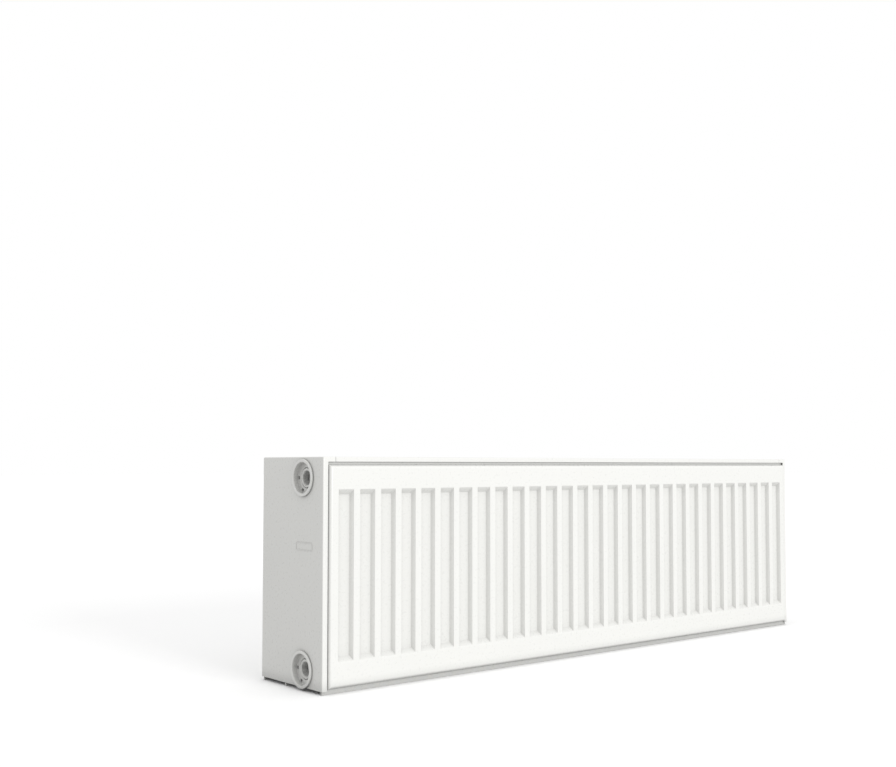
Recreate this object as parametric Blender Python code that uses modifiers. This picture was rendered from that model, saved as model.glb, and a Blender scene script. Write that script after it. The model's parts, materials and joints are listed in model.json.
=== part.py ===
"""Compact panel radiator, 300 mm high and 1000 mm long: three pressed steel water panels with three
convectors between them, four threaded tappings, side covers, a top grille, a bleed valve and a plug.

The frame: +X along the length, the front face looks along -Y, +Z up. The origin lies halfway along the
bottom seam of the middle panel's front sheet, on the surface that the radiator stands on.
"""

import math

import bmesh
import bpy
from mathutils import Matrix, Vector

# Driving sizes, in metres
LENGTH = 1.000
HEIGHT = 0.300
PITCH = LENGTH / 30
GROOVE_COUNT = 29
TAPPING_HEIGHTS = (0.027, 0.273)
TAPPING_DEPTH = 0.050
TOUCH_GAP = 0.0003

# Water panels: each is two pressed sheets, seam welded round the edge. Depths count from the front face.
SHEET = 0.00125
PANEL_DEPTH = 0.015
PANEL_FRONTS = {"front": 0.0, "middle": 0.085, "rear": 0.140}
FACE_HALF = 0.487
FACE_BOTTOM = 0.0115
FACE_TOP = 0.285
FLANK_RUN = 0.005
FLANGE_RUN = 0.0065
FLANK_STEPS = 2
GROOVE_BOTTOM = 0.040
GROOVE_TOP = 0.2585
GROOVE_WIDTH = 0.0238
GROOVE_WALL = 0.005
GROOVE_END = 0.0082
PRESS_DEPTH = PANEL_DEPTH / 2 - SHEET - TOUCH_GAP / 2
BODY_DEPTH = PANEL_FRONTS["rear"] + PANEL_DEPTH
ORIGIN_DEPTH = PANEL_FRONTS["middle"] + PRESS_DEPTH + SHEET / 2

# Convectors: corrugated sheets whose feet sit on the backs of the water channels
FIN_SHEET = 0.0005
FIN_FOOT = 0.009
FIN_WALL = 0.003
FIN_BOTTOM = 0.045
FIN_TOP = 0.255
FIN_CHANNELS = range(1, 29)

# Tappings and the water passages between the panels
SOCKET_RADIUS = 0.013
SOCKET_BORE = 0.0093
SOCKET_FACE = 0.4955
SOCKET_LENGTH = 0.035
THREAD_LENGTH = 0.017
STUB_X = 0.476
STUB_RADIUS = 0.010
WATERWAY = 0.0075
ROUND_STEPS = 20
TEE_STEPS = 16
LINK_BORE = 0.0055

# Side covers and collars
COVER_SHEET = 0.001
COVER_SETBACK = 0.003
COVER_BOTTOM = 0.0047
COVER_LIP = 0.0073
COVER_TOP_FLANGE = 0.0185
GRILLE_LIP = 0.00625
COLLAR_HOLE = 0.022
COLLAR_RADIUS = 0.02425
COLLAR_LIP = 0.0040
COLLAR_PROUD = 0.003
COLLAR_FLOOR = -0.005
COLLAR_BACK = -0.007
COLLAR_SLEEVE = 0.0217
COLLAR_INNER = 0.0136
COLLAR_NOTCH_ANGLES = (90, 150, 270, 330)

# Top grille
GRILLE_GAP = 0.0005
SLOT_PITCH = 0.020
SLOT_WIDTH = 0.011
SLOT_COUNT = 47
SLOT_ROWS = (0.019, 0.081, 0.104, 0.136)
CLIP_X = (-0.430, 0.430)
CLIP_LENGTH = 0.020
CLIP_SHEET = 0.0008
CLIP_LEG = 0.0062

# Hanging lugs on the back
LUG_X = PITCH * 11.5
LUG_FEET = (0.070, 0.190)
LUG_WIDTH = 0.030
LUG_STEEL = 0.0025
LUG_OFFSET = 0.006
LUG_FOOT = 0.022
LUG_SLOPE = 0.008
LUG_TONGUE = 0.020

# Bleed valve and blanking plug, measured outwards from the socket face along its axis
SEAL_MAJOR = 0.0107
SEAL_MINOR = 0.001
SEAL_MIDDLE = TOUCH_GAP + SEAL_MINOR
FLANGE_START = SEAL_MIDDLE + SEAL_MINOR + TOUCH_GAP
FLANGE_END = 0.0060
FLANGE_RADIUS = 0.0126
SHANK_RADIUS = 0.0090
SHANK_END = -0.014
NECK_RADIUS = 0.0065
NECK_END = 0.0140
SPINDLE_BORE = 0.0040
SPINDLE_RADIUS = 0.0037
BLEED_BORE = 0.0015
SEAT = 0.0050
SQUARE_KEY = 0.0050
SPINDLE_END = 0.0170
NOZZLE_START = 0.0064
NOZZLE_END = 0.0134
NOZZLE_RADIUS = 0.0090
NOZZLE_CLEARANCE = 0.0002
SPOUT_RADIUS = 0.0022
SPOUT_BORE = 0.0011
SPOUT_REACH = 0.0128

COLOURS = {
    "white_steel": ((0.87, 0.87, 0.85), 0.30, 0.0),
    "fin_steel": ((0.80, 0.80, 0.79), 0.45, 0.0),
    "white_plastic": ((0.84, 0.84, 0.81), 0.40, 0.0),
    "nickel": ((0.72, 0.70, 0.66), 0.25, 1.0),
    "rubber": ((0.03, 0.03, 0.03), 0.70, 0.0),
    "spring_steel": ((0.45, 0.46, 0.48), 0.35, 1.0),
}


def clear_scene():
    for old in list(bpy.data.objects):
        bpy.data.objects.remove(old)


def make_collection(name):
    group = bpy.data.collections.new(name)
    bpy.context.scene.collection.children.link(group)
    return group


def make_material(name):
    colour, roughness, metallic = COLOURS[name]
    found = bpy.data.materials.get(name)
    if found:
        return found
    material = bpy.data.materials.new(name)
    material.use_nodes = True
    shader = material.node_tree.nodes["Principled BSDF"]
    shader.inputs["Base Color"].default_value = (*colour, 1.0)
    shader.inputs["Roughness"].default_value = roughness
    shader.inputs["Metallic"].default_value = metallic
    return material


def world_y(depth):
    """Y of a point that lies `depth` behind the radiator's front face."""
    return depth - ORIGIN_DEPTH


def add_object(name, mesh, finish, location=(0, 0, 0), turn=(0, 0, 0)):
    """Adds a named piece in its own material and returns it."""
    piece = bpy.data.objects.new(name, mesh)
    PARTS.objects.link(piece)
    piece.location = location
    piece.rotation_euler = turn
    if not mesh.materials:
        mesh.materials.append(make_material(finish))
    return piece


def mesh_from(bm, name):
    mesh = bpy.data.meshes.new(name)
    bm.to_mesh(mesh)
    bm.free()
    return mesh


def add_cutter(name, mesh, location=(0, 0, 0), turn=(0, 0, 0)):
    cutter = bpy.data.objects.new(name, mesh)
    CUTTERS.objects.link(cutter)
    cutter.location = location
    cutter.rotation_euler = turn
    cutter.hide_render = True
    cutter.display_type = "WIRE"
    return cutter


def cylinder_bm(radius, start, end, steps=ROUND_STEPS, along="X"):
    """A closed cylinder on the X, Y or Z axis from `start` to `end`."""
    bm = bmesh.new()
    bmesh.ops.create_cone(bm, cap_ends=True, segments=steps, radius1=radius, radius2=radius, depth=end - start)
    bmesh.ops.translate(bm, verts=bm.verts, vec=(0, 0, (start + end) / 2))
    turns = {
        "X": Matrix.Rotation(math.pi / 2, 3, "Y"),
        "Y": Matrix.Rotation(-math.pi / 2, 3, "X"),
        "Z": Matrix.Identity(3),
    }
    bmesh.ops.rotate(bm, verts=bm.verts, matrix=turns[along])
    return bm


def box_bm(low, high):
    """A closed box between two corners."""
    bm = bmesh.new()
    bmesh.ops.create_cube(bm, size=1)
    size = Vector(high) - Vector(low)
    bmesh.ops.scale(bm, verts=bm.verts, vec=size)
    bmesh.ops.translate(bm, verts=bm.verts, vec=(Vector(low) + Vector(high)) / 2)
    return bm


def add_boolean(piece, cutter, operation):
    step = piece.modifiers.new(cutter.name, "BOOLEAN")
    step.operation = operation
    step.solver = "EXACT"
    step.object = cutter


def add_solidify(piece, thickness, offset):
    """Gives a sheet its thickness: offset -1 grows it behind its faces, 0 to both sides."""
    step = piece.modifiers.new("thickness", "SOLIDIFY")
    step.thickness = thickness
    step.offset = offset
    step.use_even_offset = True
    step.use_quality_normals = True


def turned_mesh(name, profile, steps=ROUND_STEPS):
    """A closed (radius, height) outline turned round the Z axis; points on the axis are welded."""
    bm = bmesh.new()
    ring = [bm.verts.new((radius, 0, height)) for radius, height in profile]
    on_axis = profile[0][0] == 0
    for first, second in zip(ring, ring[1:]):
        bm.edges.new((first, second))
    if not on_axis:
        bm.edges.new((ring[-1], ring[0]))
    bmesh.ops.spin(
        bm,
        geom=bm.verts[:] + bm.edges[:],
        cent=(0, 0, 0),
        axis=(0, 0, 1),
        angle=2 * math.pi,
        steps=steps,
        use_merge=True,
    )
    bmesh.ops.remove_doubles(bm, verts=bm.verts, dist=0.000001)
    bmesh.ops.recalc_face_normals(bm, faces=bm.faces)
    return mesh_from(bm, name)


def baked_mesh(piece, name):
    """The piece's shape after its modifiers, as a mesh that copies can share."""
    bpy.context.view_layer.update()
    evaluated = piece.evaluated_get(bpy.context.evaluated_depsgraph_get())
    mesh = bpy.data.meshes.new_from_object(evaluated)
    mesh.name = name
    return mesh


def face_up(bm):
    """Makes an open sheet's faces agree, with most of the area looking along +Z."""
    bmesh.ops.recalc_face_normals(bm, faces=bm.faces)
    if sum(face.normal.z * face.calc_area() for face in bm.faces) < 0:
        bmesh.ops.reverse_faces(bm, faces=bm.faces)


def grid_bm(columns, rows):
    """A flat grid in XY whose lines lie at the given columns and rows."""
    bm = bmesh.new()
    bmesh.ops.create_grid(bm, x_segments=len(columns) - 1, y_segments=len(rows) - 1, size=0.5)
    for vert in bm.verts:
        column = round((vert.co.x + 0.5) * (len(columns) - 1))
        row = round((vert.co.y + 0.5) * (len(rows) - 1))
        vert.co = (columns[column], rows[row], 0)
    return bm


def cells(bm, columns, rows, row, parity=None):
    """The grid's faces in one row, all of them or only every second one."""
    found = []
    for face in bm.faces:
        centre = face.calc_center_median()
        if rows[row] < centre.y < rows[row + 1]:
            column = sum(1 for line in columns if line < centre.x) - 1
            if parity is None or column % 2 == parity:
                found.append(face)
    return found


def extrude_rim(bm, run, drop):
    """Grows the sheet's outer edge outwards by `run` and back by `drop`."""
    edges = [edge for edge in bm.edges if edge.is_boundary]
    half = max(vert.co.x for vert in bm.verts)
    low = min(vert.co.y for vert in bm.verts)
    high = max(vert.co.y for vert in bm.verts)
    grown = bmesh.ops.extrude_edge_only(bm, edges=edges)["geom"]
    close = 0.00001
    for vert in (item for item in grown if isinstance(item, bmesh.types.BMVert)):
        if abs(vert.co.x) > half - close:
            vert.co.x += math.copysign(run, vert.co.x)
        if vert.co.y > high - close:
            vert.co.y += run
        if vert.co.y < low + close:
            vert.co.y -= run
        vert.co.z -= drop


def pressed_sheet_mesh():
    """A water panel's sheet, lying in XY with its channels up: flat lands, pressed grooves, rounded rim."""
    centres = [PITCH * (index + 1) - LENGTH / 2 for index in range(GROOVE_COUNT)]
    columns = [-FACE_HALF]
    for centre in centres:
        columns += [centre - GROOVE_WIDTH / 2, centre + GROOVE_WIDTH / 2]
    columns.append(FACE_HALF)
    rows = [FACE_BOTTOM, GROOVE_BOTTOM, GROOVE_TOP, FACE_TOP]
    bm = grid_bm(columns, rows)
    grooves = cells(bm, columns, rows, 1, parity=1)
    bmesh.ops.inset_individual(bm, faces=grooves, thickness=GROOVE_WALL, depth=-PRESS_DEPTH)
    middle = (GROOVE_BOTTOM + GROOVE_TOP) / 2
    for face in grooves:
        for vert in face.verts:
            vert.co.y -= math.copysign(GROOVE_END - GROOVE_WALL, vert.co.y - middle)
    for row in (0, 2):
        bmesh.ops.dissolve_faces(bm, faces=cells(bm, columns, rows, row), use_verts=True)
    for step in range(FLANK_STEPS):
        before = math.pi / 2 * step / FLANK_STEPS
        after = math.pi / 2 * (step + 1) / FLANK_STEPS
        run = FLANK_RUN * (math.sin(after) - math.sin(before))
        drop = PRESS_DEPTH * (math.cos(before) - math.cos(after))
        extrude_rim(bm, run, drop)
    extrude_rim(bm, FLANGE_RUN, 0)
    face_up(bm)
    return mesh_from(bm, "pressed_sheet")


def make_panels():
    """Six pressed sheets in three pairs, with the passages cut where water crosses between panels."""
    forward = pressed_sheet_mesh()
    passages = bmesh.new()
    for side in (-1, 1):
        for height in TAPPING_HEIGHTS:
            start = world_y(PANEL_DEPTH * 0.6)
            end = world_y(BODY_DEPTH - PANEL_DEPTH * 0.6)
            one = cylinder_bm(WATERWAY, start, end, 12, "Y")
            bmesh.ops.translate(one, verts=one.verts, vec=(side * STUB_X, 0, height))
            mesh = mesh_from(one, "passage")
            passages.from_mesh(mesh)
            bpy.data.meshes.remove(mesh)
    cutter = add_cutter("water_passages", mesh_from(passages, "water_passages"))
    for panel, front in PANEL_FRONTS.items():
        outer = add_object(
            f"{panel}_panel_front_sheet",
            forward,
            "white_steel",
            (0, world_y(front), 0),
            (math.pi / 2, 0, 0),
        )
        inner = add_object(
            f"{panel}_panel_back_sheet",
            forward,
            "white_steel",
            (0, world_y(front + PANEL_DEPTH), 0),
            (math.pi / 2, 0, math.pi),
        )
        for sheet in (outer, inner):
            add_solidify(sheet, SHEET, -1)
        if panel != "front":
            add_boolean(outer, cutter, "DIFFERENCE")
        if panel != "rear":
            add_boolean(inner, cutter, "DIFFERENCE")


def make_convector(name, foot_depth, crest_depth):
    """A corrugated sheet: feet on the water channels, crests over the grooves, open above and below."""
    profile = []
    for channel in FIN_CHANNELS:
        centre = PITCH * (channel + 0.5) - LENGTH / 2
        left = centre - FIN_FOOT / 2
        right = centre + FIN_FOOT / 2
        if channel != FIN_CHANNELS[0]:
            profile.append((left - FIN_WALL, crest_depth))
        profile += [(left, foot_depth), (right, foot_depth)]
        if channel != FIN_CHANNELS[-1]:
            profile.append((right + FIN_WALL, crest_depth))
    bm = bmesh.new()
    line = [bm.verts.new((x, world_y(depth), FIN_BOTTOM)) for x, depth in profile]
    edges = [bm.edges.new(pair) for pair in zip(line, line[1:])]
    raised = bmesh.ops.extrude_edge_only(bm, edges=edges)["geom"]
    tops = [item for item in raised if isinstance(item, bmesh.types.BMVert)]
    bmesh.ops.translate(bm, verts=tops, vec=(0, 0, FIN_TOP - FIN_BOTTOM))
    bmesh.ops.recalc_face_normals(bm, faces=bm.faces)
    convector = add_object(name, mesh_from(bm, name), "fin_steel")
    add_solidify(convector, FIN_SHEET, 0)


def make_convectors():
    foot = TOUCH_GAP + FIN_SHEET / 2
    narrow_crest = 0.0365
    wide_crest = 0.0325
    front_back = PANEL_FRONTS["front"] + PANEL_DEPTH
    middle_front = PANEL_FRONTS["middle"]
    middle_back = middle_front + PANEL_DEPTH
    make_convector("convector_front", front_back + foot, front_back + wide_crest)
    make_convector("convector_middle", middle_front - foot, middle_front - wide_crest)
    make_convector("convector_rear", middle_back + foot, middle_back + narrow_crest)


def make_tappings():
    """Four tees between the front and middle panels and four connectors on to the rear panel."""
    reach = (PANEL_FRONTS["middle"] - PANEL_DEPTH) / 2 - TOUCH_GAP
    inner_end = SOCKET_FACE - SOCKET_LENGTH
    barrel_mesh = mesh_from(cylinder_bm(SOCKET_RADIUS, inner_end, SOCKET_FACE, TEE_STEPS), "barrel")
    barrel = add_object("barrel", barrel_mesh, "white_steel")
    stub_mesh = mesh_from(cylinder_bm(STUB_RADIUS, -reach, reach, TEE_STEPS, "Y"), "stub")
    stub = add_cutter("stub", stub_mesh, (STUB_X, 0, 0))
    overrun = 0.001
    thread_end = SOCKET_FACE - THREAD_LENGTH
    bore_mesh = mesh_from(cylinder_bm(SOCKET_BORE, thread_end, SOCKET_FACE + overrun, TEE_STEPS), "bore")
    bore = add_cutter("socket_bore", bore_mesh)
    link_mesh = mesh_from(cylinder_bm(LINK_BORE, STUB_X, thread_end + overrun, TEE_STEPS), "link")
    link = add_cutter("bore_link", link_mesh)
    cross_mesh = mesh_from(cylinder_bm(WATERWAY, -reach - overrun, reach + overrun, TEE_STEPS, "Y"), "cross")
    cross = add_cutter("cross_bore", cross_mesh, (STUB_X, 0, 0))
    add_boolean(barrel, stub, "UNION")
    for cutter in (bore, link, cross):
        add_boolean(barrel, cutter, "DIFFERENCE")
    tee = baked_mesh(barrel, "tee")
    bpy.data.objects.remove(barrel)
    for side, turn in (("left", math.pi), ("right", 0)):
        for level, height in zip(("bottom", "top"), TAPPING_HEIGHTS):
            place = (0, world_y(TAPPING_DEPTH), height)
            add_object(f"tapping_tee_{side}_{level}", tee, "white_steel", place, (0, 0, turn))
    start = PANEL_FRONTS["middle"] + PANEL_DEPTH + TOUCH_GAP
    end = PANEL_FRONTS["rear"] - TOUCH_GAP
    outline = [(STUB_RADIUS, end - start), (STUB_RADIUS, 0), (WATERWAY, 0), (WATERWAY, end - start)]
    tube = turned_mesh("connector", outline)
    for side, sign in (("left", -1), ("right", 1)):
        for level, height in zip(("bottom", "top"), TAPPING_HEIGHTS):
            place = (sign * STUB_X, world_y(start), height)
            add_object(f"panel_connector_{side}_{level}", tube, "white_steel", place, (-math.pi / 2, 0, 0))


def side_cover_mesh():
    """The right cover as an open sheet: side plate, top flange, and L-shaped front and rear lips."""
    half = LENGTH / 2
    low = (half - COVER_TOP_FLANGE, world_y(COVER_SETBACK), COVER_BOTTOM)
    high = (half, world_y(BODY_DEPTH - COVER_SETBACK), HEIGHT)
    bm = box_bm(low, high)
    bm.normal_update()
    unwanted = [face for face in bm.faces if face.normal.z < -0.5 or face.normal.x < -0.5]
    bmesh.ops.delete(bm, geom=unwanted, context="FACES_ONLY")
    for point, normal in (((half - COVER_LIP, 0, 0), (1, 0, 0)), ((0, 0, HEIGHT - GRILLE_LIP), (0, 0, 1))):
        lips = [face for face in bm.faces if abs(face.normal.y) > 0.5]
        geometry = lips + list({edge for face in lips for edge in face.edges})
        geometry += list({vert for face in lips for vert in face.verts})
        bmesh.ops.bisect_plane(bm, geom=geometry, plane_co=point, plane_no=normal)
    corners = []
    for face in bm.faces:
        centre = face.calc_center_median()
        beyond_lip = centre.x < half - COVER_LIP and centre.z < HEIGHT - GRILLE_LIP
        if abs(face.normal.y) > 0.5 and beyond_lip:
            corners.append(face)
    bmesh.ops.delete(bm, geom=corners, context="FACES")
    loose = [edge for edge in bm.edges if not edge.link_faces]
    bmesh.ops.delete(bm, geom=loose, context="EDGES")
    lone = [vert for vert in bm.verts if not vert.link_faces]
    bmesh.ops.delete(bm, geom=lone, context="VERTS")
    return mesh_from(bm, "side_cover")


def make_covers():
    """Two side covers, each with two round holes that the collars fill."""
    holes = bmesh.new()
    for side in (-1, 1):
        for height in TAPPING_HEIGHTS:
            middle = side * (LENGTH / 2 - COVER_SHEET / 2)
            one = cylinder_bm(COLLAR_HOLE, middle - COVER_SHEET, middle + COVER_SHEET, 28)
            bmesh.ops.translate(one, verts=one.verts, vec=(0, world_y(TAPPING_DEPTH), height))
            mesh = mesh_from(one, "hole")
            holes.from_mesh(mesh)
            bpy.data.meshes.remove(mesh)
    cutter = add_cutter("collar_holes", mesh_from(holes, "collar_holes"))
    right = add_object("side_cover_right", side_cover_mesh(), "white_steel")
    mirrored = right.data.copy()
    mirrored.name = "side_cover_left"
    mirrored.transform(Matrix.Scale(-1, 4, (1, 0, 0)))
    mirrored.flip_normals()
    left = add_object("side_cover_left", mirrored, "white_steel")
    for cover in (right, left):
        add_solidify(cover, COVER_SHEET, -1)
        add_boolean(cover, cutter, "DIFFERENCE")


def make_collars():
    """Plastic rings that line the cover holes: a raised lip, a recessed floor and latch notches in it."""
    rounding = 0.0006
    outline = [
        (COLLAR_RADIUS - rounding, COLLAR_PROUD),
        (COLLAR_RADIUS, COLLAR_PROUD - rounding),
        (COLLAR_RADIUS, TOUCH_GAP),
        (COLLAR_SLEEVE, TOUCH_GAP),
        (COLLAR_SLEEVE, COLLAR_BACK),
        (COLLAR_INNER, COLLAR_BACK),
        (COLLAR_INNER, COLLAR_FLOOR),
        (COLLAR_RADIUS - COLLAR_LIP, COLLAR_FLOOR),
        (COLLAR_RADIUS - COLLAR_LIP, COLLAR_PROUD - rounding),
        (COLLAR_RADIUS - COLLAR_LIP + rounding, COLLAR_PROUD),
    ]
    ring = add_object("ring", turned_mesh("ring", outline), "white_plastic")
    notch_low = (0.0165, -0.002, COLLAR_BACK - 0.001)
    notch_high = (COLLAR_RADIUS - COLLAR_LIP - 0.0002, 0.002, COLLAR_FLOOR + 0.001)
    for number, angle in enumerate(COLLAR_NOTCH_ANGLES):
        notch = add_cutter(
            f"collar_notch_{number}",
            mesh_from(box_bm(notch_low, notch_high), "notch"),
            turn=(0, 0, math.radians(angle)),
        )
        add_boolean(ring, notch, "DIFFERENCE")
    collar = baked_mesh(ring, "collar")
    bpy.data.objects.remove(ring)
    for side, sign in (("left", -1), ("right", 1)):
        for level, height in zip(("bottom", "top"), TAPPING_HEIGHTS):
            place = (sign * LENGTH / 2, world_y(TAPPING_DEPTH), height)
            turn = (0, sign * math.pi / 2, 0)
            add_object(f"collar_{side}_{level}", collar, "white_plastic", place, turn)


def make_grille():
    """The top grille: a slotted plate with a lip folded down along its front and rear edges."""
    half = LENGTH / 2 - COVER_TOP_FLANGE - GRILLE_GAP
    columns = [-half]
    for index in range(SLOT_COUNT):
        centre = (index - (SLOT_COUNT - 1) / 2) * SLOT_PITCH
        columns += [centre - SLOT_WIDTH / 2, centre + SLOT_WIDTH / 2]
    columns.append(half)
    front = world_y(COVER_SETBACK)
    rear = world_y(BODY_DEPTH - COVER_SETBACK)
    rows = [front, *(world_y(depth) for depth in SLOT_ROWS), rear]
    bm = grid_bm(columns, rows)
    slots = cells(bm, columns, rows, 1, parity=1) + cells(bm, columns, rows, 3, parity=1)
    bmesh.ops.delete(bm, geom=slots, context="FACES")
    for row in (0, 2, 4):
        bmesh.ops.dissolve_faces(bm, faces=cells(bm, columns, rows, row), use_verts=True)
    close = 0.00001
    long_edges = []
    for edge in bm.edges:
        at_front = all(vert.co.y < front + close for vert in edge.verts)
        at_rear = all(vert.co.y > rear - close for vert in edge.verts)
        if at_front or at_rear:
            long_edges.append(edge)
    folded = bmesh.ops.extrude_edge_only(bm, edges=long_edges)["geom"]
    tips = [item for item in folded if isinstance(item, bmesh.types.BMVert)]
    bmesh.ops.translate(bm, verts=tips, vec=(0, 0, -GRILLE_LIP))
    face_up(bm)
    grille = add_object("top_grille", mesh_from(bm, "top_grille"), "white_steel", (0, 0, HEIGHT))
    add_solidify(grille, COVER_SHEET, -1)


def bent_strip_mesh(name, points, start_x, end_x):
    """A strip of sheet that follows (y, z) points, from start_x to end_x."""
    bm = bmesh.new()
    line = [bm.verts.new((start_x, y, z)) for y, z in points]
    edges = [bm.edges.new(pair) for pair in zip(line, line[1:])]
    wide = bmesh.ops.extrude_edge_only(bm, edges=edges)["geom"]
    far = [item for item in wide if isinstance(item, bmesh.types.BMVert)]
    bmesh.ops.translate(bm, verts=far, vec=(end_x - start_x, 0, 0))
    bmesh.ops.recalc_face_normals(bm, faces=bm.faces)
    return mesh_from(bm, name)


def make_grille_clips():
    """Spring clips under the grille that straddle the top seams of the middle and rear panels."""
    seam_top = FACE_TOP + FLANK_RUN + FLANGE_RUN
    seam_half = SHEET + TOUCH_GAP / 2
    side = seam_half + TOUCH_GAP + CLIP_SHEET / 2
    roof = seam_top + TOUCH_GAP + CLIP_SHEET / 2
    points = [(-side, roof - CLIP_LEG), (-side, roof), (side, roof), (side, roof - CLIP_LEG)]
    mesh = bent_strip_mesh("grille_clip", points, -CLIP_LENGTH / 2, CLIP_LENGTH / 2)
    for panel in ("middle", "rear"):
        for side_name, x in zip(("left", "right"), CLIP_X):
            place = (x, world_y(PANEL_FRONTS[panel] + PANEL_DEPTH / 2), 0)
            clip = add_object(f"grille_clip_{panel}_{side_name}", mesh, "spring_steel", place)
            add_solidify(clip, CLIP_SHEET, 0)


def make_lugs():
    """Welded hanging lugs: a foot flat on the rear panel and a tongue that a wall hook goes behind."""
    middle = LUG_STEEL / 2
    points = [
        (middle, 0),
        (middle, LUG_FOOT),
        (middle + LUG_OFFSET, LUG_FOOT + LUG_SLOPE),
        (middle + LUG_OFFSET, LUG_FOOT + LUG_SLOPE + LUG_TONGUE),
    ]
    mesh = bent_strip_mesh("hanging_lug", points, -LUG_WIDTH / 2, LUG_WIDTH / 2)
    for side_name, sign in (("left", -1), ("right", 1)):
        for level, height in zip(("bottom", "top"), LUG_FEET):
            place = (sign * LUG_X, world_y(BODY_DEPTH + TOUCH_GAP), height)
            lug = add_object(f"hanging_lug_{side_name}_{level}", mesh, "white_steel", place)
            add_solidify(lug, LUG_STEEL, 0)


def torus_mesh(name, major, minor):
    """A rubber ring round the Z axis."""
    steps = 8
    outline = []
    for step in range(steps):
        angle = -2 * math.pi * step / steps
        outline.append((major + minor * math.cos(angle), minor * math.sin(angle)))
    return turned_mesh(name, outline, 16)


def valve_place(level, outwards=0.0):
    """A point on the axis of a right-hand tapping, `outwards` from its socket face."""
    height = dict(zip(("bottom", "top"), TAPPING_HEIGHTS))[level]
    return (SOCKET_FACE + outwards, world_y(TAPPING_DEPTH), height)


ALONG_X = (0, math.pi / 2, 0)


def make_bleed_valve():
    """The bleed valve in the upper right tapping: body, seal, needle spindle, spindle seal and nozzle."""
    body_outline = [
        (NECK_RADIUS, NECK_END),
        (NECK_RADIUS, FLANGE_END),
        (FLANGE_RADIUS, FLANGE_END),
        (FLANGE_RADIUS, FLANGE_START),
        (SHANK_RADIUS, FLANGE_START),
        (SHANK_RADIUS, SHANK_END),
        (BLEED_BORE, SHANK_END),
        (BLEED_BORE, SEAT),
        (SPINDLE_BORE, SEAT + SPINDLE_BORE - BLEED_BORE),
        (SPINDLE_BORE, NECK_END),
    ]
    body = add_object("vent_body", turned_mesh("vent_body", body_outline), "nickel", valve_place("top"), ALONG_X)
    outlet_x = SOCKET_FACE + (NOZZLE_START + NOZZLE_END) / 2
    outlet = cylinder_bm(SPOUT_BORE, -NECK_RADIUS - 0.001, 0, 12, "Z")
    place = (outlet_x, world_y(TAPPING_DEPTH), TAPPING_HEIGHTS[1])
    add_boolean(body, add_cutter("vent_outlet", mesh_from(outlet, "vent_outlet"), place), "DIFFERENCE")
    seal = torus_mesh("socket_seal", SEAL_MAJOR, SEAL_MINOR)
    add_object("vent_body_seal", seal, "rubber", valve_place("top", SEAL_MIDDLE), ALONG_X)
    add_object("blanking_plug_seal", seal, "rubber", valve_place("bottom", SEAL_MIDDLE), ALONG_X)

    groove = 0.0008
    groove_low = 0.0095
    groove_high = 0.0108
    spindle_outline = [
        (0, SPINDLE_END - SQUARE_KEY),
        (SPINDLE_RADIUS, SPINDLE_END - SQUARE_KEY),
        (SPINDLE_RADIUS, groove_high),
        (SPINDLE_RADIUS - groove, groove_high),
        (SPINDLE_RADIUS - groove, groove_low),
        (SPINDLE_RADIUS, groove_low),
        (SPINDLE_RADIUS, SEAT + SPINDLE_BORE),
        (0, SEAT + TOUCH_GAP * 2),
    ]
    spindle_mesh = turned_mesh("vent_spindle", spindle_outline, 16)
    spindle = add_object("vent_spindle", spindle_mesh, "nickel", valve_place("top"), ALONG_X)
    half = SQUARE_KEY / 2
    key = box_bm((SPINDLE_END - SQUARE_KEY - 0.001, -half, -half), (SPINDLE_END, half, half))
    add_boolean(spindle, add_cutter("square_key", mesh_from(key, "square_key"), valve_place("top")), "UNION")
    ring_middle = (groove_low + groove_high) / 2
    ring_minor = 0.00045
    ring_major = SPINDLE_RADIUS - groove + TOUCH_GAP / 2 + ring_minor
    ring = torus_mesh("spindle_seal", ring_major, ring_minor)
    add_object("vent_spindle_seal", ring, "rubber", valve_place("top", ring_middle), ALONG_X)

    inner = NECK_RADIUS + NOZZLE_CLEARANCE
    nozzle_outline = [
        (NOZZLE_RADIUS, NOZZLE_END),
        (NOZZLE_RADIUS, NOZZLE_START),
        (inner, NOZZLE_START),
        (inner, NOZZLE_END),
    ]
    nozzle_mesh = turned_mesh("vent_nozzle", nozzle_outline)
    nozzle = add_object("vent_nozzle", nozzle_mesh, "white_plastic", valve_place("top"), ALONG_X)
    spout = cylinder_bm(SPOUT_RADIUS, -SPOUT_REACH, -NOZZLE_RADIUS + 0.001, 16, "Z")
    add_boolean(nozzle, add_cutter("spout", mesh_from(spout, "spout"), place), "UNION")
    spout_bore = cylinder_bm(SPOUT_BORE, -SPOUT_REACH - 0.001, -NECK_RADIUS, 12, "Z")
    add_boolean(nozzle, add_cutter("spout_bore", mesh_from(spout_bore, "spout_bore"), place), "DIFFERENCE")


def make_blanking_plug():
    """The plug in the lower right tapping, with a hexagon recess for its key."""
    recess_radius = 0.0058
    recess_floor = -0.001
    outline = [
        (0, FLANGE_END),
        (FLANGE_RADIUS, FLANGE_END),
        (FLANGE_RADIUS, FLANGE_START),
        (SHANK_RADIUS, FLANGE_START),
        (SHANK_RADIUS, SHANK_END),
        (0, SHANK_END),
    ]
    mesh = turned_mesh("blanking_plug", outline)
    plug = add_object("blanking_plug", mesh, "nickel", valve_place("bottom"), ALONG_X)
    recess = cylinder_bm(recess_radius, recess_floor, FLANGE_END + 0.001, 6)
    cutter = add_cutter("key_recess", mesh_from(recess, "key_recess"), valve_place("bottom"))
    add_boolean(plug, cutter, "DIFFERENCE")


clear_scene()
PARTS = make_collection("compact_radiator")
CUTTERS = make_collection("cutters")
make_panels()
make_convectors()
make_tappings()
make_covers()
make_collars()
make_grille()
make_grille_clips()
make_lugs()
make_bleed_valve()
make_blanking_plug()
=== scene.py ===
"""The looks of the compact panel radiator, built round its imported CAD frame."""
import json
import math

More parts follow.
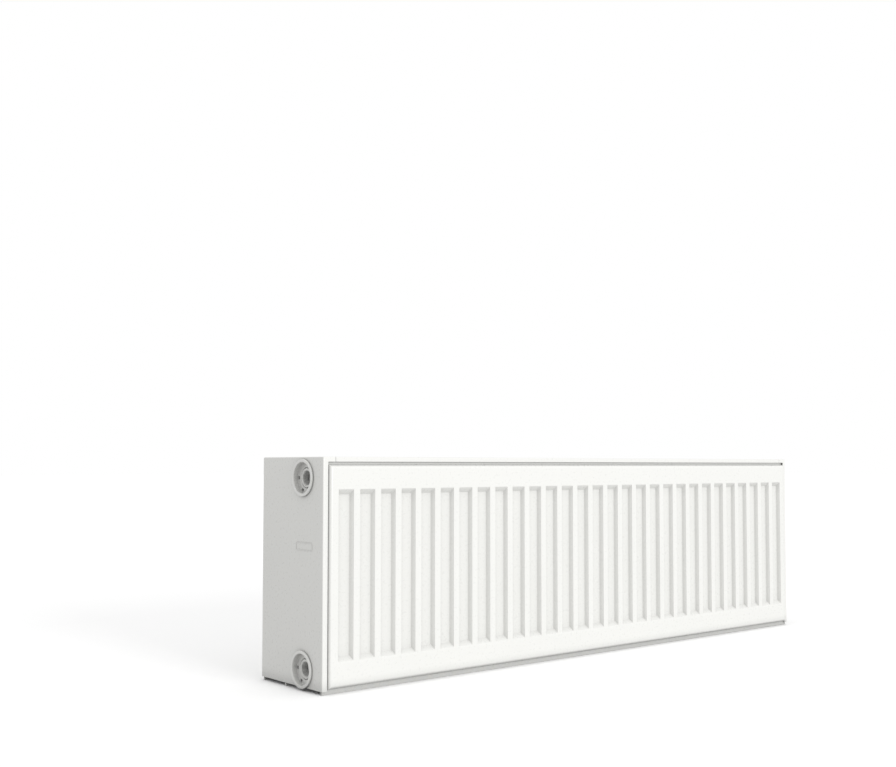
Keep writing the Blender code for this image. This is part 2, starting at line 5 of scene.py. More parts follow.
import bmesh
import bpy
from mathutils import Matrix, Vector


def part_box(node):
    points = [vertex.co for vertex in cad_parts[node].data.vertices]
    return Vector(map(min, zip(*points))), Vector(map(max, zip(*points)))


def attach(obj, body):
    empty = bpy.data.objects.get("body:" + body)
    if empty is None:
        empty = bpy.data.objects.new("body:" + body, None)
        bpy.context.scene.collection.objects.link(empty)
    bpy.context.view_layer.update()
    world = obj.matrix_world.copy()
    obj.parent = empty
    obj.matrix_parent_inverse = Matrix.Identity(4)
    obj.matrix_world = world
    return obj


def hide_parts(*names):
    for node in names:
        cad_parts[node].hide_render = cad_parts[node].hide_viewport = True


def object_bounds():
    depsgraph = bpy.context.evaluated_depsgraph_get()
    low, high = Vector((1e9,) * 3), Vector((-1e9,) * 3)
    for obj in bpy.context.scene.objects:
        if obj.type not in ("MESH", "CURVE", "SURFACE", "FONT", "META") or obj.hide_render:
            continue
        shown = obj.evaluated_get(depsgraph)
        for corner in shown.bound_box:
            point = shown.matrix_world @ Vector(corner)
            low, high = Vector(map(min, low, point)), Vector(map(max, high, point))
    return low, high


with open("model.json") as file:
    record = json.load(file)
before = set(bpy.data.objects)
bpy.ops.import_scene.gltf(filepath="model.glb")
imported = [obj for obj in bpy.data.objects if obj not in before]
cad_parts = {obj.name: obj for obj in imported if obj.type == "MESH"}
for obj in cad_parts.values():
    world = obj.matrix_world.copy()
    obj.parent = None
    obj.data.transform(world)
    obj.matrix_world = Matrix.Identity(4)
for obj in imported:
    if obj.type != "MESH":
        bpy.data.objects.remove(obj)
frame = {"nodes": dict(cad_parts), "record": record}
CAD_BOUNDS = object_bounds()

# Places read from the frame
FRONT_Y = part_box("front_panel_front_sheet")[0].y
REAR_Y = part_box("rear_panel_back_sheet")[1].y
COVER_LOW, COVER_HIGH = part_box("side_cover_right")
GRILLE_LOW, GRILLE_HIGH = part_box("top_grille")
TEE_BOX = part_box("tapping_tee_right_top")
TOP_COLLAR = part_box("collar_right_top")
BOTTOM_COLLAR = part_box("collar_right_bottom")
HALF_LENGTH = COVER_HIGH.x
TOP_Z = COVER_HIGH.z
SOCKET_X = TEE_BOX[1].x
TAP_Y = (TOP_COLLAR[0].y + TOP_COLLAR[1].y) / 2
TAP_HEIGHTS = {
    "top": (TOP_COLLAR[0].z + TOP_COLLAR[1].z) / 2,
    "bottom": (BOTTOM_COLLAR[0].z + BOTTOM_COLLAR[1].z) / 2,
}
SIDES = {"left": -1, "right": 1}
Z_TO_X = Matrix.Rotation(math.pi / 2, 4, "Y")
CORNER_STEPS = 4

# Pressed sheets
GROOVES = 29
PITCH = 2 * HALF_LENGTH / (GROOVES + 1)
SHEET = 0.00125
PRESS_DEPTH = 0.0061
FACE_HALF = 0.487
FACE_BOTTOM = 0.0115
FACE_TOP = 0.285
FLANK_RUN = 0.005
FLANK_STEPS = 8
RIM_SUPPORT = 0.0004
FLANGE_RUN = 0.0065
GROOVE_BOTTOM = 0.040
GROOVE_TOP = 0.2585
GROOVE_WIDTH = 0.0238
GROOVE_WALL = 0.005
GROOVE_END = 0.0082
PRESS_ROUNDING = 0.0009

# Covers, collars and grille
COVER_SHEET = 0.001
COVER_LIP = 0.0073
COVER_FOLD = 0.0016
GRILLE_LIP = GRILLE_HIGH.z - GRILLE_LOW.z
COLLAR_HOLE = 0.022
COLLAR_RADIUS = 0.02425
COLLAR_LIP = 0.0040
COLLAR_PROUD = 0.003
COLLAR_FLOOR = -0.005
COLLAR_BACK = -0.007
COLLAR_SLEEVE = 0.0217
COLLAR_INNER = 0.0136
COLLAR_GAP = 0.0003
COLLAR_ROUNDING = 0.0008
NOTCH_RADIUS = 0.0165
NOTCH_HALF = 0.002
NOTCH_ANGLES = (90, 150, 270, 330)
ROUND = 96
SLOT_PITCH = 0.020
SLOT_WIDTH = 0.011
SLOT_COUNT = 47
SLOT_ROWS = ((0.019, 0.081), (0.104, 0.136))
SLOT_CORNER = 0.0025
SLOT_CUT = 0.003

# Blank badge frame on the side covers: its centre as (depth from the front, height)
BADGE_CENTRE = (0.0475, 0.1847)
BADGE_WIDTH = 0.0386
BADGE_HEIGHT = 0.0105
BADGE_LINE = 0.0008
BADGE_RAISE = 0.0004
BADGE_SINK = 0.0003
BADGE_CORNERS = {0: 0.0016, BADGE_LINE: 0.00088}

# Tappings: G 1/2 thread
SOCKET_RADIUS = 0.013
THREAD_MINOR = 0.0094
THREAD_DEPTH = 0.0009
THREAD_PITCH = 0.001814
THREAD_START = 0.0009
THREAD_LENGTH = 0.0165
THREAD_FADE = 0.002
THREAD_RINGS = 60
THREAD_STEPS = 72
MOUTH_CHAMFER = 0.0008
BARREL_LENGTH = 0.035
LINK_BORE = 0.0055
LINK_START = 0.010
STUB_X = 0.476
STUB_RADIUS = 0.010
WATERWAY = 0.0075

# Bleed valve and blanking plug, measured outwards from the socket face along its axis
FLANGE_RADIUS = 0.0126
FLANGE_START = 0.0026
FLANGE_END = 0.006
SHANK_RADIUS = 0.009
SHANK_END = -0.014
NECK_RADIUS = 0.0065
NECK_END = 0.014
BLEED_BORE = 0.0015
SEAT_START = 0.005
SEAT_END = 0.0075
SPINDLE_BORE = 0.004
HEX_CLEARANCE = 0.0002
HEX_OVERRUN = 0.0005
PLUG_THREAD_START = 0.0015
PLUG_THREAD_CRESTS = 7
PLUG_THREAD_DEPTH = 0.0008
PLUG_KEY_RADIUS = 0.0058
PLUG_KEY_DEPTH = 0.001
SPINDLE_RADIUS = 0.0037
SPINDLE_NECK = 0.0029
SPINDLE_TIP = 0.0056
SPINDLE_LEVELS = (0.009, 0.0095, 0.0108, 0.012)
SQUARE_HALF = 0.0025
SQUARE_START = 0.011
SQUARE_END = 0.017
NOZZLE_INNER = 0.0067
NOZZLE_OUTER = 0.009
NOZZLE_START = 0.0064
NOZZLE_END = 0.0134
SPOUT_RADIUS = 0.0022
SPOUT_REACH = (0.008, 0.0128)
SPOUT_BORE = 0.0011
SPOUT_BORE_REACH = (0.006, 0.014)

# The camera: place, heading from +Y towards +X, tilt, focal length and shift
CAMERA_PLACE = (-1.2921, -1.3066, 0.2889)
CAMERA_HEADING = 40.27
CAMERA_TILT = 2.67
CAMERA_LENS = 45.76
CAMERA_SHIFT = (-0.0224, 0.0322)

# How wide a hollow still gets painted shade, and how dark the painted shade in the deepest hollow is
PAINTED_SHADE_REACH = 0.020
PAINTED_SHADE_TONE = 0.38

# Studio: even sky light, a white backdrop, one soft key from the front, and a floor that
# the camera sees brighter than the radiator does
SKY_LIGHT = 0.765
BACKDROP = 1.0
KEY_LIGHT = 1.44
KEY_SPREAD = 24
KEY_TOWARDS = (-0.08, 0.82, -0.16)
FLOOR_BOUNCE = 0.65
FLOOR_SEEN = 1.25


def from_front(depth):
    """Y of a point that lies `depth` behind the radiator's front face."""
    return FRONT_Y + depth


# ---------------------------------------------------------------- materials


def new_material(name):
    material = bpy.data.materials.new(name)
    material.use_nodes = True
    tree = material.node_tree
    return material, tree.nodes, tree.links, tree.nodes["Principled BSDF"]


def noise(nodes, links, coordinates, scale, detail=3.0, roughness=0.5):
    node = nodes.new("ShaderNodeTexNoise")
    node.inputs["Scale"].default_value = scale
    node.inputs["Detail"].default_value = detail
    node.inputs["Roughness"].default_value = roughness
    links.new(coordinates, node.inputs["Vector"])
    return node.outputs["Fac"]


def remap(nodes, links, value, low, high, start=0.3, end=0.7):
    node = nodes.new("ShaderNodeMapRange")
    node.inputs["From Min"].default_value = start
    node.inputs["From Max"].default_value = end
    node.inputs["To Min"].default_value = low
    node.inputs["To Max"].default_value = high
    links.new(value, node.inputs["Value"])
    return node.outputs["Result"]


def mix_colours(nodes, links, factor, first, second):
    node = nodes.new("ShaderNodeMix")
    node.data_type = "RGBA"
    links.new(factor, node.inputs["Factor"])
    node.inputs["A"].default_value = (*first, 1)
    node.inputs["B"].default_value = (*second, 1)
    return node.outputs["Result"]


def multiplied(nodes, links, colour):
    """A node that multiplies `colour` by its own input B."""
    node = nodes.new("ShaderNodeMix")
    node.data_type = "RGBA"
    node.blend_type = "MULTIPLY"
    node.inputs["Factor"].default_value = 1.0
    links.new(colour, node.inputs["A"])
    return node


def painted_hollow_shade(nodes, links, colour):
    """The colour with painted shade: darker where the surface is enclosed, in grooves, gaps and recesses."""
    # An ambient occlusion node drives this painted shade in the base colour
    occlusion = nodes.new("ShaderNodeAmbientOcclusion")
    occlusion.samples = 8
    occlusion.inputs["Distance"].default_value = PAINTED_SHADE_REACH
    mix = multiplied(nodes, links, colour)
    links.new(remap(nodes, links, occlusion.outputs["AO"], PAINTED_SHADE_TONE, 1.0, 0.0, 1.0), mix.inputs["B"])
    return mix.outputs["Result"]


def bump(nodes, links, shader, layers):
    """Chains bump layers of (height, distance in metres, strength) into the shader's normal."""
    normal = None
    for height, distance, strength in layers:
        node = nodes.new("ShaderNodeBump")
        node.inputs["Distance"].default_value = distance
        node.inputs["Strength"].default_value = strength
        links.new(height, node.inputs["Height"])
        if normal is not None:
            links.new(normal, node.inputs["Normal"])
        normal = node.outputs["Normal"]
    links.new(normal, shader.inputs["Normal"])


def coated_steel(name, light, dark, roughness, peel):
    """Powder coat: faint colour drift and specks, fine orange peel, a gloss that varies a little."""
    material, nodes, links, shader = new_material(name)
    place = nodes.new("ShaderNodeTexCoord").outputs["Object"]
    drift = noise(nodes, links, place, 7, 4)
    specks = noise(nodes, links, place, 2600, 2)
    fine = noise(nodes, links, place, 900, 2)
    coarse = noise(nodes, links, place, 260, 2)
    tone = remap(nodes, links, drift, 0, 1)
    colour = mix_colours(nodes, links, tone, light, dark)
    speckled = multiplied(nodes, links, colour)
    links.new(remap(nodes, links, specks, 0, 0.03, 0.62, 0.75), speckled.inputs["Factor"])
    speckled.inputs["B"].default_value = (0.93, 0.93, 0.92, 1)
    # The base colour carries painted shade in grooves, gaps and recesses
    links.new(painted_hollow_shade(nodes, links, speckled.outputs["Result"]), shader.inputs["Base Color"])
    links.new(remap(nodes, links, coarse, roughness - 0.05, roughness + 0.07), shader.inputs["Roughness"])
    bump(nodes, links, shader, [(coarse, 0.00006, peel), (fine, 0.00003, peel)])
    shader.inputs["Coat Weight"].default_value = 0.25
    shader.inputs["Coat Roughness"].default_value = 0.12
    return material


def moulded_plastic(name, light, dark):
    """Satin moulded plastic: very fine spark texture, soft flow marks."""
    material, nodes, links, shader = new_material(name)
    place = nodes.new("ShaderNodeTexCoord").outputs["Object"]
    flow = noise(nodes, links, place, 90, 3)
    spark = noise(nodes, links, place, 3200, 2)
    tone = remap(nodes, links, flow, 0, 1)
    colour = mix_colours(nodes, links, tone, light, dark)
    # The base colour carries painted shade in grooves, gaps and recesses
    links.new(painted_hollow_shade(nodes, links, colour), shader.inputs["Base Color"])
    links.new(remap(nodes, links, spark, 0.34, 0.50), shader.inputs["Roughness"])
    bump(nodes, links, shader, [(spark, 0.00002, 0.5), (flow, 0.00005, 0.2)])
    shader.inputs["Subsurface Weight"].default_value = 0.05
    shader.inputs["Subsurface Radius"].default_value = (0.002, 0.002, 0.0018)
    return material


def plated_metal(name, light, dark, roughness):
    """Turned and plated metal: rings from turning about X, and a few dull patches."""
    material, nodes, links, shader = new_material(name)
    place = nodes.new("ShaderNodeTexCoord").outputs["Object"]
    stretch = nodes.new("ShaderNodeMapping")
    stretch.inputs["Scale"].default_value = (1, 0.04, 0.04)
    links.new(place, stretch.inputs["Vector"])
    rings = noise(nodes, links, stretch.outputs["Vector"], 5200, 2)
    patches = noise(nodes, links, place, 420, 4, 0.6)
    tone = remap(nodes, links, patches, 0, 1)
    links.new(mix_colours(nodes, links, tone, light, dark), shader.inputs["Base Color"])
    links.new(remap(nodes, links, patches, roughness - 0.06, roughness + 0.12), shader.inputs["Roughness"])
    bump(nodes, links, shader, [(rings, 0.00002, 0.5)])
    shader.inputs["Metallic"].default_value = 1.0
    return material


def black_rubber(name, light, dark):
    """Dull black rubber with a fine grain."""
    material, nodes, links, shader = new_material(name)
    place = nodes.new("ShaderNodeTexCoord").outputs["Object"]
    grain = noise(nodes, links, place, 2400, 3)
    tone = remap(nodes, links, grain, 0, 1)
    links.new(mix_colours(nodes, links, tone, light, dark), shader.inputs["Base Color"])
    links.new(remap(nodes, links, grain, 0.55, 0.8), shader.inputs["Roughness"])
    bump(nodes, links, shader, [(grain, 0.00003, 0.6)])
    return material


def make_materials():
    return {
        "white_steel": coated_steel(
            "white_powder_coat", (0.885, 0.885, 0.858), (0.872, 0.873, 0.845), 0.30, 0.30
        ),
        "fin_steel": coated_steel("dip_coat", (0.82, 0.82, 0.81), (0.77, 0.77, 0.76), 0.46, 0.45),
        "white_plastic": moulded_plastic("collar_plastic", (0.90, 0.90, 0.875), (0.88, 0.88, 0.855)),
        "nickel": plated_metal("nickel_plate", (0.74, 0.72, 0.68), (0.62, 0.60, 0.56), 0.24),
        "spring_steel": plated_metal("spring_steel", (0.46, 0.47, 0.49), (0.36, 0.37, 0.39), 0.34),
        "rubber": black_rubber("seal_rubber", (0.018, 0.018, 0.018), (0.04, 0.04, 0.038)),
    }


MATERIALS = make_materials()
SLOT_OF = {entry["node"]: entry["material_slot"] for entry in frame["record"]["subparts"]}
BODY_OF = {}
for body_name, members in frame["record"]["behaviour"]["bodies"].items():
    for member in members:
        BODY_OF[member] = body_name


# ---------------------------------------------------------------- mesh tools


def mesh_from(bm, name):
    mesh = bpy.data.meshes.new(name)
    bm.to_mesh(mesh)
    bm.free()
    return mesh


def add_helper(mesh, location=(0, 0, 0), turn=(0, 0, 0)):
    """A loose object used while shaping; it is removed afterwards."""
    helper = bpy.data.objects.new("helper", mesh)
    bpy.context.scene.collection.objects.link(helper)
    helper.location = location
    helper.rotation_euler = turn
    return helper


def remove_all(helpers):
    for helper in helpers:
        bpy.data.objects.remove(helper)


def applied(piece):
    """The piece's mesh with its modifiers applied; the piece and its old mesh go."""
    bpy.context.view_layer.update()
    evaluated = piece.evaluated_get(bpy.context.evaluated_depsgraph_get())
    mesh = bpy.data.meshes.new_from_object(evaluated)
    bpy.data.objects.remove(piece)
    return mesh


def add_solidify(piece, thickness, offset=-1):
    step = piece.modifiers.new("thickness", "SOLIDIFY")
    step.thickness = thickness
    step.offset = offset
    step.use_even_offset = True
    step.use_quality_normals = True


def add_bevel(piece, width, segments, angle=30):
    step = piece.modifiers.new("rounding", "BEVEL")
    step.width = width
    step.segments = segments
    step.limit_method = "ANGLE"
    step.angle_limit = math.radians(angle)
    step.miter_outer = "MITER_ARC"
    step.use_clamp_overlap = True


def add_boolean(piece, cutter, operation="DIFFERENCE"):
    step = piece.modifiers.new("cut", "BOOLEAN")
    step.operation = operation
    step.solver = "EXACT"
    step.object = cutter


def shade(mesh, angle=35):
    """Smooth shading that keeps flat faces flat."""
    mesh.shade_smooth()
    mesh.set_sharp_from_angle(angle=math.radians(angle))


def stand_in(name, mesh, node, matrix=None):
    """Shows `mesh` in place of a CAD node, on the node's body and in its material."""
    piece = bpy.data.objects.new(name, mesh)
    bpy.context.scene.collection.objects.link(piece)
    if matrix is not None:
        piece.matrix_world = matrix
    mesh.materials.clear()
    mesh.materials.append(MATERIALS[SLOT_OF[node]])
    step = piece.modifiers.new("flat_faces", "WEIGHTED_NORMAL")
    step.keep_sharp = True
    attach(piece, BODY_OF[node])
    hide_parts(node)
    return piece


def grid_bm(columns, rows):
    """A flat grid with its lines at the given X and Y."""
    bm = bmesh.new()
    bmesh.ops.create_grid(bm, x_segments=len(columns) - 1, y_segments=len(rows) - 1, size=0.5)
    for vert in bm.verts:
        column = round((vert.co.x + 0.5) * (len(columns) - 1))
        row = round((vert.co.y + 0.5) * (len(rows) - 1))
        vert.co = (columns[column], rows[row], 0)
    return bm


def cells(bm, columns, rows, row, parity=None):
    """The grid's faces in one row, or only the odd or even ones."""
    found = []
    for face in bm.faces:
        centre = face.calc_center_median()
        if rows[row] < centre.y < rows[row + 1]:
            column = sum(1 for line in columns if line < centre.x) - 1
            if parity is None or column % 2 == parity:
                found.append(face)
    return found


def extrude_rim(bm, run, drop):
    """Grows the sheet's outer edge outwards by `run` and back by `drop`."""
    edges = [edge for edge in bm.edges if edge.is_boundary]
    half = max(vert.co.x for vert in bm.verts)
    low = min(vert.co.y for vert in bm.verts)
    high = max(vert.co.y for vert in bm.verts)
    grown = bmesh.ops.extrude_edge_only(bm, edges=edges)["geom"]
    close = 0.00001
    for vert in (item for item in grown if isinstance(item, bmesh.types.BMVert)):
        if abs(vert.co.x) > half - close:
            vert.co.x += math.copysign(run, vert.co.x)
        if vert.co.y > high - close:
            vert.co.y += run
        if vert.co.y < low + close:
            vert.co.y -= run
        vert.co.z -= drop


def turned_bm(outline, steps=ROUND):
    """A closed (radius, height) outline turned round Z."""
    bm = bmesh.new()
    ring = [bm.verts.new((radius, 0, height)) for radius, height in outline]
    for first, second in zip(ring, ring[1:]):
        bm.edges.new((first, second))
    if outline[0][0] > 0:
        bm.edges.new((ring[-1], ring[0]))
    bmesh.ops.spin(
        bm,
        geom=bm.verts[:] + bm.edges[:],
        cent=(0, 0, 0),
        axis=(0, 0, 1),
        angle=2 * math.pi,
        steps=steps,
        use_merge=True,
    )
    bmesh.ops.remove_doubles(bm, verts=bm.verts, dist=0.0000005)
    bmesh.ops.recalc_face_normals(bm, faces=bm.faces)
    return bm


def softened(outline, radius, steps=CORNER_STEPS):
    """The outline with each corner rounded, as far as its sides allow."""
    points = []
    count = len(outline)
    for index, corner in enumerate(outline):
        before = Vector(outline[index - 1])
        here = Vector(corner)
        after = Vector(outline[(index + 1) % count])
        if corner[0] == 0:
            points.append(corner)
            continue
        reach = min(radius, (before - here).length * 0.45, (after - here).length * 0.45)
        start = here + (before - here).normalized() * reach
        end = here + (after - here).normalized() * reach
        for step in range(steps + 1):
            part = step / steps
            point = start * (1 - part) ** 2 + here * 2 * part * (1 - part) + end * part**2
            points.append((point.x, point.y))
    return points


def round_rectangle(width, height, radius):
    """Points of a rectangle about its centre, with round corners."""
    points = []
    for quarter, (sign_x, sign_y) in enumerate(((1, 1), (-1, 1), (-1, -1), (1, -1))):
        for step in range(CORNER_STEPS + 1):
            angle = math.pi / 2 * (quarter + step / CORNER_STEPS)
            x = sign_x * (width / 2 - radius) + radius * math.cos(angle)
            y = sign_y * (height / 2 - radius) + radius * math.sin(angle)
            points.append((x, y))
    return points


def raise_faces(bm, faces, shift):
    """Extrudes the faces by `shift` into a closed body."""
    raised = bmesh.ops.extrude_face_region(bm, geom=faces)["geom"]
    tops = [item for item in raised if isinstance(item, bmesh.types.BMVert)]
    bmesh.ops.translate(bm, verts=tops, vec=shift)
    bmesh.ops.recalc_face_normals(bm, faces=bm.faces)


def cylinder_mesh(radius, start, end, steps=64):
    """A closed cylinder on Z from start to end."""
    size = {"radius1": radius, "radius2": radius, "depth": end - start}
    bm = bmesh.new()
    bmesh.ops.create_cone(bm, cap_ends=True, segments=steps, **size)
    bmesh.ops.translate(bm, verts=bm.verts, vec=(0, 0, (start + end) / 2))
    return mesh_from(bm, "cylinder")


def box_mesh(low, high):
    bm = bmesh.new()
    bmesh.ops.create_cube(bm, size=1)
    bmesh.ops.scale(bm, verts=bm.verts, vec=Vector(high) - Vector(low))
    bmesh.ops.translate(bm, verts=bm.verts, vec=(Vector(low) + Vector(high)) / 2)
    return mesh_from(bm, "box")


def open_box(low, high, is_open):
    """A box's faces, without those whose normal `is_open` picks out."""
    bm = bmesh.new()
    bm.from_mesh(box_mesh(low, high))
    bm.normal_update()
    unwanted = [face for face in bm.faces if is_open(face.normal)]
    bmesh.ops.delete(bm, geom=unwanted, context="FACES_ONLY")
    return bm


def drop_loose(bm):
    """Removes edges and points that no face uses."""
    loose = [edge for edge in bm.edges if not edge.link_faces]
    bmesh.ops.delete(bm, geom=loose, context="EDGES")
    lone = [vert for vert in bm.verts if not vert.link_faces]
    bmesh.ops.delete(bm, geom=lone, context="VERTS")


def folded(bm):
    """Turns open faces into folded sheet metal; returns the helper object."""
    plate = add_helper(mesh_from(bm, "plate"))
    add_bevel(plate, COVER_FOLD, 5, 60)
    add_solidify(plate, COVER_SHEET)
    return plate


def joined(meshes):
    """One mesh of several."""
    bm = bmesh.new()
    for mesh in meshes:
        bm.from_mesh(mesh)
    return mesh_from(bm, "joined")


# ---------------------------------------------------------------- pieces


def pressed_sheet():
    """A water panel's sheet in XY, channels up: flat lands, pressed grooves, a rolled rim, a seam flange."""
    centres = [PITCH * (index + 1) - HALF_LENGTH for index in range(GROOVES)]
    columns = [-FACE_HALF]
    for centre in centres:
        columns += [centre - GROOVE_WIDTH / 2, centre + GROOVE_WIDTH / 2]
    columns.append(FACE_HALF)
    rows = [FACE_BOTTOM, GROOVE_BOTTOM, GROOVE_TOP, FACE_TOP]
    bm = grid_bm(columns, rows)
    grooves = cells(bm, columns, rows, 1, parity=1)
    bmesh.ops.inset_individual(bm, faces=grooves, thickness=GROOVE_WALL, depth=-PRESS_DEPTH)
    middle = (GROOVE_BOTTOM + GROOVE_TOP) / 2
    for face in grooves:
        for vert in face.verts:
            vert.co.y -= math.copysign(GROOVE_END - GROOVE_WALL, vert.co.y - middle)
    for row in (0, 2):
        bmesh.ops.dissolve_faces(bm, faces=cells(bm, columns, rows, row), use_verts=True)
    extrude_rim(bm, RIM_SUPPORT, 0)
    for step in range(FLANK_STEPS):
        before = math.pi / 2 * step / FLANK_STEPS
        after = math.pi / 2 * (step + 1) / FLANK_STEPS
        run = (FLANK_RUN - RIM_SUPPORT) * (math.sin(after) - math.sin(before))
        drop = PRESS_DEPTH * (math.cos(before) - math.cos(after))
        extrude_rim(bm, run, drop)
    extrude_rim(bm, FLANGE_RUN, 0)
    bmesh.ops.recalc_face_normals(bm, faces=bm.faces)
    if sum(face.normal.z * face.calc_area() for face in bm.faces) < 0:
        bmesh.ops.reverse_faces(bm, faces=bm.faces)
    sheet = add_helper(mesh_from(bm, "pressed_sheet"))
    add_solidify(sheet, SHEET)
    add_bevel(sheet, PRESS_ROUNDING, 3, 25)
    mesh = applied(sheet)
    shade(mesh, 60)
    return mesh


def make_sheets():
    sheet = pressed_sheet()
    front = Matrix.Translation((0, FRONT_Y, 0)) @ Matrix.Rotation(math.pi / 2, 4, "X")
    stand_in("front_face_sheet", sheet, "front_panel_front_sheet", front)
    back = Matrix.Translation((0, REAR_Y, 0)) @ Matrix.Rotation(math.pi, 4, "Z")
    back = back @ Matrix.Rotation(math.pi / 2, 4, "X")
    stand_in("rear_face_sheet", sheet.copy(), "rear_panel_back_sheet", back)


def cover_sheet():
    """The right cover: folded sheet with L-shaped lips, collar holes and a raised blank badge frame."""
    high = COVER_HIGH
    bm = open_box(COVER_LOW, high, lambda normal: normal.z < -0.5 or normal.x < -0.5)
    lip_x = high.x - COVER_LIP
    lip_z = high.z - GRILLE_LIP
    for point, normal in (((lip_x, 0, 0), (1, 0, 0)), ((0, 0, lip_z), (0, 0, 1))):
        lips = [face for face in bm.faces if abs(face.normal.y) > 0.5]
        geometry = lips + list({edge for face in lips for edge in face.edges})
        geometry += list({vert for face in lips for vert in face.verts})
        bmesh.ops.bisect_plane(bm, geom=geometry, plane_co=point, plane_no=normal)
    corners = []
    for face in bm.faces:
        centre = face.calc_center_median()
        if abs(face.normal.y) > 0.5 and centre.x < lip_x and centre.z < lip_z:
            corners.append(face)
    bmesh.ops.delete(bm, geom=corners, context="FACES")
    drop_loose(bm)
    cover = folded(bm)
    holes = []
    for height in TAP_HEIGHTS.values():
        hole = cylinder_mesh(COLLAR_HOLE, -4 * COVER_SHEET, 4 * COVER_SHEET, ROUND)
        hole.transform(Matrix.Translation((high.x, TAP_Y, height)) @ Z_TO_X)
        holes.append(hole)
    cutter = add_helper(joined(holes))
    add_boolean(cover, cutter)
    badge = add_helper(badge_frame(high.x))
    add_boolean(cover, badge, "UNION")
    mesh = applied(cover)
    remove_all([cutter, badge])
    shade(mesh, 40)
    return mesh


def badge_frame(face_x):
    """A low raised outline with round corners, left blank, on the plate below the upper collar."""
    depth, height = BADGE_CENTRE
    centre_y = from_front(depth)
    bm = bmesh.new()
    loops = []
    for inset, corner in BADGE_CORNERS.items():
        points = round_rectangle(BADGE_WIDTH - 2 * inset, BADGE_HEIGHT - 2 * inset, corner)
        loops.append([bm.verts.new((face_x - BADGE_SINK, centre_y + y, height + z)) for y, z in points])
    outer, inner = loops
    faces = []
    for index in range(len(outer)):
        after = (index + 1) % len(outer)
        faces.append(bm.faces.new((outer[index], outer[after], inner[after], inner[index])))
    raise_faces(bm, faces, (BADGE_RAISE + BADGE_SINK, 0, 0))
    return mesh_from(bm, "badge_frame")


def make_covers():
    right = cover_sheet()
    left = right.copy()
    left.transform(Matrix.Scale(-1, 4, (1, 0, 0)))
    left.flip_normals()
    stand_in("right_cover_panel", right, "side_cover_right")
    stand_in("left_cover_panel", left, "side_cover_left")


def make_collars():
    """Plastic rings with a round lip, a sleeve, and a recessed floor with four notches in its outer edge."""
    recess = COLLAR_RADIUS - COLLAR_LIP
    outline = [
        (COLLAR_RADIUS, COLLAR_PROUD),
        (COLLAR_RADIUS, COLLAR_GAP),
        (COLLAR_SLEEVE, COLLAR_GAP),
        (COLLAR_SLEEVE, COLLAR_BACK),
        (COLLAR_INNER, COLLAR_BACK),
        (COLLAR_INNER, COLLAR_FLOOR),
        (recess, COLLAR_FLOOR),
        (recess, COLLAR_PROUD),
    ]
    ring = add_helper(mesh_from(turned_bm(softened(outline, COLLAR_ROUNDING)), "ring"))
    overrun = 0.001
    low = (NOTCH_RADIUS, -NOTCH_HALF, COLLAR_BACK - overrun)
    high = (recess - 0.0002, NOTCH_HALF, COLLAR_FLOOR + overrun)
    notches = []
    for angle in NOTCH_ANGLES:
        notch = box_mesh(low, high)
        notch.transform(Matrix.Rotation(math.radians(angle), 4, "Z"))
        notches.append(notch)
    cutter = add_helper(joined(notches))
    add_boolean(ring, cutter)
    mesh = applied(ring)
    remove_all([cutter])
    shade(mesh, 40)
    for side, sign in SIDES.items():
        for level, height in TAP_HEIGHTS.items():
            place = Matrix.Translation((sign * HALF_LENGTH, TAP_Y, height))
            place = place @ Matrix.Rotation(sign * math.pi / 2, 4, "Y")
            stand_in(f"ring_{side}_{level}", mesh.copy(), f"collar_{side}_{level}", place)


def thread_radius(turn, depth):
    """The bore's radius in the thread, where `turn` is the part of a turn gone round."""
    phase = (-depth / THREAD_PITCH - turn) % 1.0
    fade = min(1.0, (THREAD_LENGTH + depth) / THREAD_FADE + 0.1)
    return THREAD_MINOR + THREAD_DEPTH * fade * (1 - abs(2 * phase - 1))


def threaded_barrel():
    """The tapping's barrel on Z, mouth at 0 and body below, with a helical thread in its bore."""
    thread_end = -THREAD_LENGTH - 0.0005
    rows = [
        (SOCKET_RADIUS, -BARREL_LENGTH),
        (SOCKET_RADIUS, -MOUTH_CHAMFER),
        (SOCKET_RADIUS - MOUTH_CHAMFER, 0.0),
        (THREAD_MINOR + THREAD_DEPTH + 0.0003, 0.0),
    ]
    for ring in range(THREAD_RINGS):
        part = ring / (THREAD_RINGS - 1)
        rows.append((None, -THREAD_START - (THREAD_LENGTH - THREAD_START) * part))
    rows.append((THREAD_MINOR - 0.0002, thread_end))
    rows.append((LINK_BORE, thread_end))
    rows.append((LINK_BORE, LINK_START - BARREL_LENGTH))
    bm = bmesh.new()
    rings = []
    for radius, depth in rows:
        ring = []
        for step in range(THREAD_STEPS):
            turn = step / THREAD_STEPS
            reach = thread_radius(turn, depth) if radius is None else radius
            angle = 2 * math.pi * turn
            ring.append(bm.verts.new((reach * math.cos(angle), reach * math.sin(angle), depth)))
        rings.append(ring)
    for first, second in zip(rings, rings[1:]):
        for step in range(THREAD_STEPS):
            after = (step + 1) % THREAD_STEPS
            bm.faces.new((first[step], first[after], second[after], second[step]))
    bm.faces.new(rings[0])
    bm.faces.new(rings[-1])
    bmesh.ops.recalc_face_normals(bm, faces=bm.faces)
    return mesh_from(bm, "threaded_barrel")


